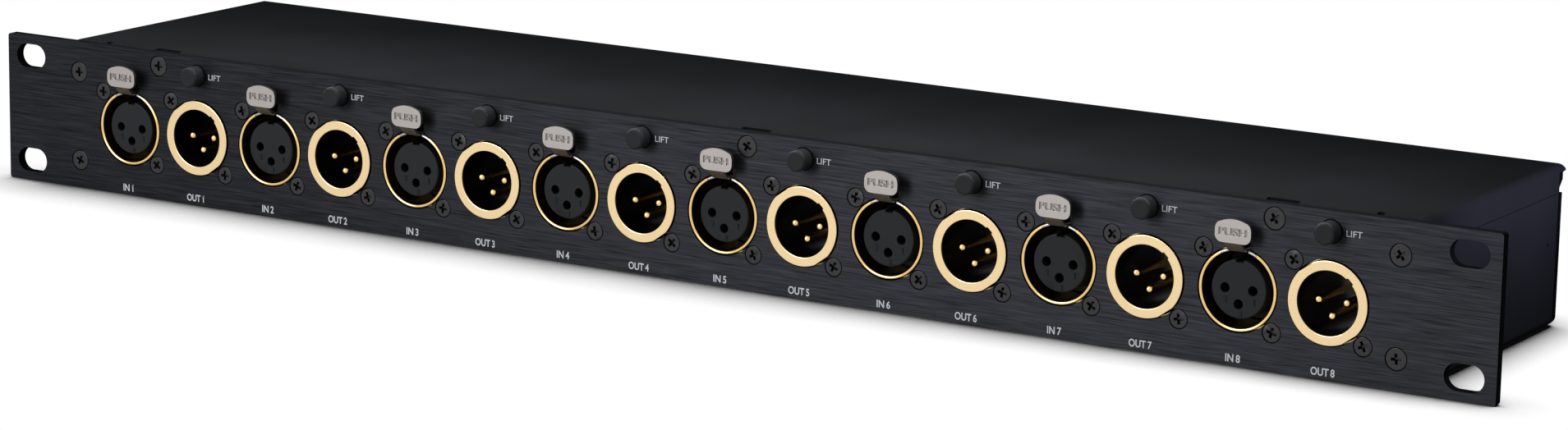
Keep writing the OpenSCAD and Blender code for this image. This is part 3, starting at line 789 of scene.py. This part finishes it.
def latch_bracket():
    """Two jaws that carry on the rim beside the latch, cheeks for the hinge pin, and a bridge."""
    whole = block(
        (-jaw_out, bracket_back - bridge_t, tab_low - bend_r - plate_t),
        (jaw_out, bracket_back, bracket_top),
    )
    for side in (-1, 1):
        left, right = sorted((side * jaw_in, side * jaw_out))
        jaw = carved(
            rim_tube(ring_r - jaw_fit, bracket_back),
            block((left, -past, gap_low), (right, bracket_back - jaw_short, ring_r)),
            "INTERSECT",
        )
        cheek = block(
            (left, panel_t + cheek_fit, ring_r - 2 * rim_wall),
            (right, bracket_back, bracket_top),
        )
        whole = carved(whole, carved(jaw, cheek, "UNION"), "UNION")
    bore = rod(ring_r - rim_wall, (0, panel_t, 0), (0, bracket_back + past, 0), turn_steps)
    return carved(carved(whole, bore), hinge_rod(hinge_hole_r, ring_r))


def push_tab():
    """Tab with a crowned top and round corners, as thick as the plate."""
    tab = bmesh.new()
    half = tab_w / 2
    side_h = tab_h - tab_crown
    corners = [(-half, 0), (half, 0), (half, side_h), (-half, side_h)]
    verts = [tab.verts.new((x, -tab_proud, tab_low + z)) for x, z in corners]
    tab.faces.new(verts)
    top = tab.edges.get((verts[2], verts[3]))
    bmesh.ops.subdivide_edges(tab, edges=[top], cuts=crown_cuts)
    for vert in tab.verts:
        if vert.co.z > tab_low + side_h / 2:
            vert.co.z += tab_crown * (1 - (vert.co.x / half) ** 2)
    for height, r in ((tab_low, tab_low_r), (tab_low + side_h, tab_top_r)):
        corner = Vector((half, -tab_proud, height))
        pair = [v for v in tab.verts if (Vector((abs(v.co.x), *v.co.yz)) - corner).length < same_place]
        bmesh.ops.bevel(
            tab, geom=pair, offset=r, segments=corner_steps, profile=0.5, affect="VERTICES", material=-1,
        )
    grown = bmesh.ops.extrude_face_region(tab, geom=list(tab.faces))
    back = [g for g in grown["geom"] if isinstance(g, bmesh.types.BMVert)]
    bmesh.ops.translate(tab, vec=(0, plate_t, 0), verts=back)
    bmesh.ops.recalc_face_normals(tab, faces=tab.faces)
    return rounded(tab, plate_edge, segments=4, angle=50)


def folded_arm():
    """Neck, bend and arm, drawn out from the neck's own section."""
    arm = bmesh.new()
    half = neck_w / 2
    top = tab_low + tab_low_r
    back = plate_t - tab_proud
    section = [(-half, -tab_proud), (half, -tab_proud), (half, back), (-half, back)]
    face = arm.faces.new([arm.verts.new((x, y, top)) for x, y in section])
    down = bmesh.ops.extrude_face_region(arm, geom=[face])
    lower = [g for g in down["geom"] if isinstance(g, bmesh.types.BMVert)]
    bmesh.ops.translate(arm, vec=(0, 0, tab_low - top), verts=lower)
    foot = [g for g in down["geom"] if isinstance(g, bmesh.types.BMFace)]
    bend_y = plate_t + bend_r - tab_proud
    bent = bmesh.ops.spin(
        arm, geom=foot, cent=(0, bend_y, tab_low), axis=(1, 0, 0), dvec=(0, 0, 0),
        angle=math.pi / 2, steps=bend_steps, use_duplicate=False,
    )
    end = [g for g in bent["geom_last"] if isinstance(g, bmesh.types.BMFace)]
    out = bmesh.ops.extrude_face_region(arm, geom=end)
    tip = [g for g in out["geom"] if isinstance(g, bmesh.types.BMVert)]
    bmesh.ops.translate(arm, vec=(0, hinge_depth - bend_y, 0), verts=tip)
    inner = [f for f in arm.faces if all(not e.is_boundary and not e.is_manifold for e in f.edges)]
    bmesh.ops.delete(arm, geom=inner, context="FACES")
    bmesh.ops.recalc_face_normals(arm, faces=arm.faces)
    return arm


def latch():
    """Whole latch: tab, neck, arm, hook and barrel, with the word struck broadly into the tab."""
    arm_low = tab_low - bend_r - plate_t
    whole = carved(push_tab(), folded_arm(), "UNION")
    hook = block(
        (-hook_w / 2, hook_front, hook_low),
        (hook_w / 2, hook_back, arm_low + plate_t / 2),
    )
    for vert in hook.verts:
        if vert.co.z < hook_low + same_place and vert.co.y < hook_front + same_place:
            vert.co.y = hook_back - plate_t
    whole = carved(whole, hook, "UNION")
    whole = carved(whole, hinge_rod(barrel_r, neck_w / 2), "UNION")
    whole = carved(whole, hinge_rod(hinge_hole_r, neck_w))
    for shift in (-word_stroke / 4, word_stroke / 4):
        word = lettering("PUSH", word_w, word_h, 2 * word_deep, word_bold)
        whole = carved(whole, moved(word, Matrix.Translation((shift, -tab_proud, word_up))))
    # The floor of the sunk word takes the second material, which is darkened as painted shade.
    for face in whole.faces:
        if abs(face.calc_center_median().y - word_deep + tab_proud) < same_place:
            face.material_index = 1
    return whole


nickel_grain = 0.2


def nickel_plate(name, dark, pale):
    """Tumbled steel under dull nickel, a warm grey metal with a grain about 0.2 mm wide."""
    plate = finish(name)
    spot = add(plate, "ShaderNodeTexCoord", {}).outputs["Object"]
    grain = add(plate, "ShaderNodeTexNoise", {
        "Vector": spot,
        "Scale": 1 / (nickel_grain * mm),
        "Detail": 3,
    })
    tint = add(plate, "ShaderNodeMix", {
        0: grain.outputs["Fac"],
        6: linear(dark),
        7: linear(pale),
    }, data_type="RGBA")
    gloss = add(plate, "ShaderNodeMapRange", {
        "Value": grain.outputs["Fac"],
        "To Min": 0.2,
        "To Max": 0.3,
    })
    bumps = add(plate, "ShaderNodeBump", {
        "Height": grain.outputs["Fac"],
        "Strength": 0.15,
        "Distance": 0.02 * mm,
    })
    shader = add(plate, "ShaderNodeBsdfPrincipled", {
        "Base Color": tint.outputs[2],
        "Metallic": 1,
        "Roughness": gloss.outputs["Result"],
        "Normal": bumps.outputs["Normal"],
    })
    add(plate, "ShaderNodeOutputMaterial", {"Surface": shader.outputs["BSDF"]})
    return plate


# Satin nickel for the sheet, and a darker copy on the floor of the sunk word, as painted shade in the
# recess.
nickel = nickel_plate("nickel_plate_satin", "#928d89", "#b0aaa6")
shaded_word_nickel = nickel_plate("nickel_plate_painted_shade", "#746f6b", "#8c8682")
for k, place in zip(channels, front_inputs):
    sheet = copies(latch(), [place])
    thing = piece(f"push_latch_{k}", sheet, nickel, f"latch_body_{k}", "nickel_plate", f"latch_{k}")
    thing.data.materials.append(shaded_word_nickel)
brackets = copies(latch_bracket(), front_inputs)
piece("hinge_brackets", brackets, nickel, "chassis", "nickel_plate", "latch_brackets")
coat(nickel, "latch_pins")


# Ground-lift buttons
# Moulded black caps with a chamfered face, pressed on the square white plungers of the switches.
# Each slides straight into its hole in the panel and springs back.

cap_r = 2.95
cap_proud = 4.5
cap_back = 4.5
cap_chamfer = 0.45
cap_edge = 0.2
cap_steps = 64

# Moulded ABS: dull black with a fine eroded grain about 0.3 mm wide.
abs_grain = 0.3
black_abs = finish("moulded_abs_black")
spot = add(black_abs, "ShaderNodeTexCoord", {}).outputs["Object"]
grain = add(black_abs, "ShaderNodeTexNoise", {"Vector": spot, "Scale": 1 / (abs_grain * mm), "Detail": 2})
tint = add(black_abs, "ShaderNodeMix", {
    0: grain.outputs["Fac"],
    6: linear("#121315"),
    7: linear("#1a1b1e"),
}, data_type="RGBA")
bumps = add(black_abs, "ShaderNodeBump", {
    "Height": grain.outputs["Fac"],
    "Strength": 0.2,
    "Distance": 0.02 * mm,
})
shader = add(black_abs, "ShaderNodeBsdfPrincipled", {
    "Base Color": tint.outputs[2],
    "Roughness": 0.5,
    "Specular IOR Level": 0.14,
    "Normal": bumps.outputs["Normal"],
})
add(black_abs, "ShaderNodeOutputMaterial", {"Surface": shader.outputs["BSDF"]})

# Moulded acetal: a plain off-white with a faint mottle.
acetal_mottle = 2
acetal = finish("moulded_acetal_white")
spot = add(acetal, "ShaderNodeTexCoord", {}).outputs["Object"]
mottle = add(acetal, "ShaderNodeTexNoise", {
    "Vector": spot,
    "Scale": 1 / (acetal_mottle * mm),
    "Detail": 2,
})
tint = add(acetal, "ShaderNodeMix", {
    0: mottle.outputs["Fac"],
    6: linear("#d2cfc6"),
    7: linear("#dedbd3"),
}, data_type="RGBA")
shader = add(acetal, "ShaderNodeBsdfPrincipled", {"Base Color": tint.outputs[2], "Roughness": 0.4})
add(acetal, "ShaderNodeOutputMaterial", {"Surface": shader.outputs["BSDF"]})


def button_cap():
    """Round cap with a chamfered face and softened edges."""
    return rounded(turned([
        (0, -cap_proud),
        (cap_r - cap_chamfer, -cap_proud),
        (cap_r, cap_chamfer - cap_proud),
        (cap_r, cap_back),
        (0, cap_back),
    ], cap_steps), cap_edge, segments=3)


for k in channels:
    low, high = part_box(f"lift_cap_{k}")
    place = Matrix.Translation(((low.x + high.x) / 2, front_y, (low.z + high.z) / 2))
    cap = copies(button_cap(), [place])
    piece(f"push_cap_{k}", cap, black_abs, f"button_body_{k}", "cap_plastic", f"lift_cap_{k}")
    coat(acetal, f"lift_plunger_{k}")


# Switches, circuit board and flat leads
# Behind the panel, a green fibreglass board carries the switches and the sockets' tails,
# and flat grey leads go from it to the rear sockets. Hidden once the cover is on.

# Solder mask: green lacquer on fibreglass, whose weave of about 0.8 mm shows through.
weave_pitch = 0.8
solder_mask = finish("solder_mask_green")
spot = add(solder_mask, "ShaderNodeTexCoord", {}).outputs["Object"]
weave = add(solder_mask, "ShaderNodeTexChecker", {
    "Vector": spot,
    "Scale": 1 / (weave_pitch * mm),
    "Color1": linear("#1b5636"),
    "Color2": linear("#1f5f3c"),
})
shader = add(solder_mask, "ShaderNodeBsdfPrincipled", {
    "Base Color": weave.outputs["Color"],
    "Roughness": 0.35,
})
add(solder_mask, "ShaderNodeOutputMaterial", {"Surface": shader.outputs["BSDF"]})

# Lead sheath: grey PVC, slightly uneven from its extrusion.
sheath_wave = 5
sheath = finish("extruded_pvc_grey")
spot = add(sheath, "ShaderNodeTexCoord", {}).outputs["Object"]
wave = add(sheath, "ShaderNodeTexNoise", {"Vector": spot, "Scale": 1 / (sheath_wave * mm), "Detail": 2})
tint = add(sheath, "ShaderNodeMix", {
    0: wave.outputs["Fac"],
    6: linear("#83868b"),
    7: linear("#93969b"),
}, data_type="RGBA")
shader = add(sheath, "ShaderNodeBsdfPrincipled", {"Base Color": tint.outputs[2], "Roughness": 0.5})
add(sheath, "ShaderNodeOutputMaterial", {"Surface": shader.outputs["BSDF"]})

coat(dull_nylon, "lift_switches")
coat(solder_mask, "circuit_board")
coat(sheath, "flat_leads")


# Rear sockets
# The second output of each channel, on the rear wall: the same shell, cup and pins as in front.
# Each faces backwards and is held to the wall by two screws.

tray_t = 2
rear_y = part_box("base_tray")[1].y
about_face = Matrix.Rotation(math.pi, 4, "Z")
rear_places = []
for a, b in zip(front_inputs, front_outputs):
    middle = (a.translation + b.translation) / 2
    rear_places.append(Matrix.Translation((middle.x, rear_y, middle.z)) @ about_face)
rear_shells = copies(output_shell(tray_t), rear_places)
piece("rear_ring_shells", rear_shells, gold, "chassis", "gold_plate", "rear_shells")
rear_pins = copies(contact_pin(), [p for place in rear_places for p in pin_places(place)])
piece("rear_contact_pins", rear_pins, bright_gold, "chassis", "gold_plate", "rear_pins")


# Screws
# Countersunk steel screws with a cross recess hold the panel and the sockets, and pan-head
# screws the cover's rear flange. Black oxide with a trace of oil.

thread_r = 1.45
screw_l = 8
socket_head_r = 2.5
panel_head_r = 2.9
head_recess = 0.08
head_edge = 0.15
cross_l = 3.7
cross_w = 1.05
cross_deep = 1.3
cross_taper = 0.5
pan_head_r = 2.8
pan_head_h = 1.8
pan_edge = 0.8
socket_screw_at = 10
screw_steps = 40
quarter = 90
socket_screw_turn = 37
panel_screw_turn = 29
cover_screw_turn = 23

# Black oxide: a thin dark skin on steel, a little glossy with oil, uneven over about 1 mm.
oxide_cloud = 1
oxide = finish("black_oxide_steel")
spot = add(oxide, "ShaderNodeTexCoord", {}).outputs["Object"]
cloud = add(oxide, "ShaderNodeTexNoise", {"Vector": spot, "Scale": 1 / (oxide_cloud * mm), "Detail": 3})
tint = add(oxide, "ShaderNodeMix", {
    0: cloud.outputs["Fac"],
    6: linear("#131315"),
    7: linear("#222226"),
}, data_type="RGBA")
gloss = add(oxide, "ShaderNodeMapRange", {"Value": cloud.outputs["Fac"], "To Min": 0.24, "To Max": 0.4})
shader = add(oxide, "ShaderNodeBsdfPrincipled", {
    "Base Color": tint.outputs[2],
    "Metallic": 0.3,
    "Roughness": gloss.outputs["Result"],
    "Specular IOR Level": 0.45,
})
add(oxide, "ShaderNodeOutputMaterial", {"Surface": shader.outputs["BSDF"]})


def cross_recessed(head, face_y):
    """Cuts a tapered cross into a head's face."""
    for turn in (0, quarter):
        arm = block(
            (-cross_l / 2, face_y - past, -cross_w / 2),
            (cross_l / 2, face_y + cross_deep, cross_w / 2),
        )
        for vert in arm.verts:
            if vert.co.y > face_y:
                vert.co.x *= cross_taper
                vert.co.z *= cross_taper
        head = carved(head, moved(arm, Matrix.Rotation(math.radians(turn), 4, "Y")))
    return head


def countersunk_screw(head_r):
    """Flat-headed screw just below the surface at depth zero."""
    return cross_recessed(rounded(turned([
        (0, head_recess),
        (head_r, head_recess),
        (thread_r, head_recess + head_r - thread_r),
        (thread_r, screw_l),
        (0, screw_l),
    ], screw_steps), head_edge), head_recess)


def pan_screw():
    """Round-headed screw that stands on the surface at depth zero."""
    return cross_recessed(rounded(turned([
        (0, -pan_head_h),
        (pan_head_r, -pan_head_h),
        (pan_head_r, 0),
        (thread_r, 0),
        (thread_r, screw_l),
        (0, screw_l),
    ], screw_steps), pan_edge, segments=4, angle=80), -pan_head_h)


def driven(places, step):
    """Turns each screw to where the driver left it."""
    turns = [math.radians(step * k % quarter) for k in range(len(places))]
    return [place @ Matrix.Rotation(turn, 4, "Y") for place, turn in zip(places, turns)]


socket_screw_places = []
for place in front_inputs + front_outputs + rear_places:
    for side in (-1, 1):
        at = Vector((side * socket_screw_at, 0, -side * socket_screw_at)) * mm
        socket_screw_places.append(place @ Matrix.Translation(at))
socket_screws = copies(countersunk_screw(socket_head_r), driven(socket_screw_places, socket_screw_turn))
piece("socket_fixings", socket_screws, oxide, "chassis", "screw_black", "socket_screws")

panel_screw_x = (-183.75, 20.7, 178.9)
panel_screw_up = 18.1
end_screw_x = 214
end_screw_up = (13.1, -13.7)
panel_screw_spots = [(x, panel_screw_up) for x in panel_screw_x]
panel_screw_spots += [(side * end_screw_x, z) for side in (-1, 1) for z in end_screw_up]
panel_screw_places = [Matrix.Translation((x * mm, front_y, z * mm)) for x, z in panel_screw_spots]
panel_screws = copies(countersunk_screw(panel_head_r), driven(panel_screw_places, panel_screw_turn))
piece("panel_fixings", panel_screws, oxide, "chassis", "screw_black", "panel_screws")

cover_screw_count = 5
cover_screw_pitch = 96
cover_screw_up = 17.7
cover_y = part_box("top_cover")[1].y
cover_screw_places = []
for k in range(cover_screw_count):
    x = (k - (cover_screw_count - 1) / 2) * cover_screw_pitch
    at = Matrix.Translation((x * mm, cover_y, cover_screw_up * mm))
    cover_screw_places.append(at @ about_face)
cover_screws = copies(pan_screw(), driven(cover_screw_places, cover_screw_turn))
piece("cover_fixings", cover_screws, oxide, "chassis", "screw_black", "cover_screws")


# Printed legends
# Pale grey screen print on the panel: a word and a number under each socket, and a word
# beside each button.

ink_t = 0.03
legend_h = 2.1
legend_low = -20.95
input_word_w = 4.2
input_word_left = -2.7
output_word_w = 6.7
output_word_left = -4.1
lift_word_w = 4.4
lift_word_h = 1.65
lift_word_left = 4.2
legend_bold = 0.02
one_thinner = 0.45

# Screen ink: matt pale grey, a little thinner here and there over about 0.4 mm.
ink_patch = 0.4
ink = finish("screen_ink_pale_grey")
spot = add(ink, "ShaderNodeTexCoord", {}).outputs["Object"]
patch = add(ink, "ShaderNodeTexNoise", {"Vector": spot, "Scale": 1 / (ink_patch * mm), "Detail": 2})
tint = add(ink, "ShaderNodeMix", {
    0: patch.outputs["Fac"],
    6: linear("#b9bdc3"),
    7: linear("#d2d6dc"),
}, data_type="RGBA")
shader = add(ink, "ShaderNodeBsdfPrincipled", {"Base Color": tint.outputs[2], "Roughness": 0.6})
add(ink, "ShaderNodeOutputMaterial", {"Surface": shader.outputs["BSDF"]})


def legend(text, x, left, low, width, height, bold=legend_bold):
    """Printed words with their left end at a distance from a socket's axis."""
    words = lettering(text, width, height, ink_t, bold)
    words.transform(Matrix.Translation((left + width / 2, -ink_t / 2, low + height / 2)))
    return copies(words, [Matrix.Translation((x, front_y, 0))])


for k, a, b in zip(channels, front_inputs, front_outputs):
    low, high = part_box(f"lift_cap_{k}")
    button_up = (low.z + high.z) / 2 / mm
    input_w = input_word_w
    output_w = output_word_w
    if k == 1:
        input_w -= one_thinner
        output_w -= one_thinner
    words = joined(
        legend(f"IN {k}", a.translation.x, input_word_left, legend_low, input_w, legend_h),
        legend(f"OUT {k}", b.translation.x, output_word_left, legend_low, output_w, legend_h),
        legend(
            "LIFT", b.translation.x, lift_word_left, button_up - lift_word_h / 2,
            lift_word_w, lift_word_h, bold=0,
        ),
    )
    piece(f"printed_legend_{k}", words, ink, "chassis", "panel_anodised")


# Floor, light and camera
# A white table under soft studio light: a wide and a tall soft box from the left and front, one from
# behind, a strip close to the right side, another above the cover's front edge, and a white room.
# Table and room are white to the eye, apart from the part's soft shadow, but light it little.

floor_half = 6
room_light = 0.33

# The shadow reaches so far from the part in front and on the left, and less towards the right.
# Close to a wall a point of the table sees half of the sky, and there the shadow is darkest.
shadow_reach = 25
right_reach = 14
right_x = 240
shadow_fade = 0.66
shadow_tone = 0.003
shadow_samples = 16
half_open = 0.5


def straight_seen(owner):
    """One where the eye sees a surface, also in a mirror or through glass, and zero otherwise."""
    ray = add(owner, "ShaderNodeLightPath", {})
    mirrored = add(owner, "ShaderNodeMath", {
        0: ray.outputs["Is Camera Ray"],
        1: ray.outputs["Is Glossy Ray"],
    }, operation="MAXIMUM")
    seen = add(owner, "ShaderNodeMath", {
        0: mirrored.outputs["Value"],
        1: ray.outputs["Is Transmission Ray"],
    }, operation="MAXIMUM")
    return seen.outputs["Value"]


floor_shape = bmesh.new()
bmesh.ops.create_grid(floor_shape, x_segments=1, y_segments=1, size=floor_half)
floor_shape.transform(Matrix.Translation((0, 0, cad_box[0][2])))
floor_mesh = bpy.data.meshes.new("table_top")
floor_shape.to_mesh(floor_mesh)
floor_shape.free()
floor_paint = finish("matt_white_table")
matt = add(floor_paint, "ShaderNodeBsdfDiffuse", {"Color": linear("#606060")})
spot = add(floor_paint, "ShaderNodeTexCoord", {}).outputs["Object"]
axes = add(floor_paint, "ShaderNodeSeparateXYZ", {"Vector": spot})
reach = add(floor_paint, "ShaderNodeMapRange", {
    "Value": axes.outputs["X"],
    "From Max": right_x * mm,
    "To Min": shadow_reach * mm,
    "To Max": right_reach * mm,
})
near = add(floor_paint, "ShaderNodeAmbientOcclusion", {
    "Distance": reach.outputs["Result"],
}, samples=shadow_samples)
open_sky = add(floor_paint, "ShaderNodeMapRange", {"Value": near.outputs["AO"], "From Min": half_open})
fade = add(floor_paint, "ShaderNodeMath", {
    0: open_sky.outputs["Result"],
    1: shadow_fade,
}, operation="POWER")
tone = add(floor_paint, "ShaderNodeMapRange", {"Value": fade.outputs["Value"], "To Min": shadow_tone})
white = add(floor_paint, "ShaderNodeEmission", {
    "Color": linear("#ffffff"),
    "Strength": tone.outputs["Result"],
})
choice = add(floor_paint, "ShaderNodeMixShader", {
    0: straight_seen(floor_paint),
    1: matt.outputs["BSDF"],
    2: white.outputs["Emission"],
})
add(floor_paint, "ShaderNodeOutputMaterial", {"Surface": choice.outputs["Shader"]})
floor_mesh.materials.append(floor_paint)
floor = bpy.data.objects.new("table_top", floor_mesh)
scene.collection.objects.link(floor)

room = bpy.data.worlds.new("white_room")
room.use_nodes = True
room.node_tree.nodes.clear()
dim = add(room, "ShaderNodeBackground", {"Color": linear("#ffffff"), "Strength": room_light})
white = add(room, "ShaderNodeBackground", {"Color": linear("#ffffff"), "Strength": 1})
choice = add(room, "ShaderNodeMixShader", {
    0: straight_seen(room),
    1: dim.outputs["Background"],
    2: white.outputs["Background"],
})
add(room, "ShaderNodeOutputWorld", {"Surface": choice.outputs["Shader"]})
scene.world = room


def soft_box(name, place, aim, width, height, power, colour):
    """Area lamp that points at a place."""
    lamp = bpy.data.lights.new(name, "AREA")
    lamp.shape = "RECTANGLE"
    lamp.size = width
    lamp.size_y = height
    lamp.energy = power
    lamp.color = linear(colour)[:3]
    lamp_stand = bpy.data.objects.new(name, lamp)
    lamp_stand.location = place
    lamp_stand.rotation_euler = (Vector(aim) - Vector(place)).to_track_quat("-Z", "Y").to_euler()
    lamp_stand.visible_camera = False
    scene.collection.objects.link(lamp_stand)


# Places, aims, widths and heights in metres, and powers in watts.
soft_box("wide_soft_box", (-0.5, -1.2, 0.6), (0.05, 0, 0), 0.9, 0.9, 5, "#ffffff")
soft_box("tall_soft_box", (-0.57, -1.25, 0.4), (0.1, 0, 0), 0.64, 0.95, 10.5, "#ffffff")
soft_box("side_strip", (0.241, 0.055, 0.0215), (0.219, 0.055, 0.01), 0.09, 0.006, 0.039, "#dad6ff")
soft_box("rear_soft_box", (0.3, 1.2, 0.1), (0, 0.09, 0), 0.8, 0.4, 14, "#ffffff")
soft_box("cover_strip", (0, 0.004, 0.085), (0, 0.004, 0.02), 0.46, 0.012, 0.42, "#ffffff")

picture_w = 1909
focal_px = 5596.3
sensor_w = 36
yaw = math.radians(31.4016)
pitch = math.radians(11.9145)
roll = math.radians(1.0638)
stand = Vector((667.98, -1043.41, 257.8)) * mm
back = Vector((math.sin(yaw) * math.cos(pitch), -math.cos(yaw) * math.cos(pitch), math.sin(pitch)))
right = Vector((math.cos(yaw), math.sin(yaw), 0))
up = back.cross(right)
tilted_right = right * math.cos(roll) + up * math.sin(roll)
tilted_up = up * math.cos(roll) - right * math.sin(roll)
camera = bpy.data.cameras.new("camera")
camera.sensor_fit = "HORIZONTAL"
camera.sensor_width = sensor_w
camera.lens = focal_px / picture_w * sensor_w
viewer = bpy.data.objects.new("camera", camera)
turn = Matrix((tilted_right, tilted_up, back)).transposed().to_4x4()
viewer.matrix_world = Matrix.Translation(stand) @ turn
scene.collection.objects.link(viewer)
scene.camera = viewer

scene.view_settings.view_transform = "Standard"
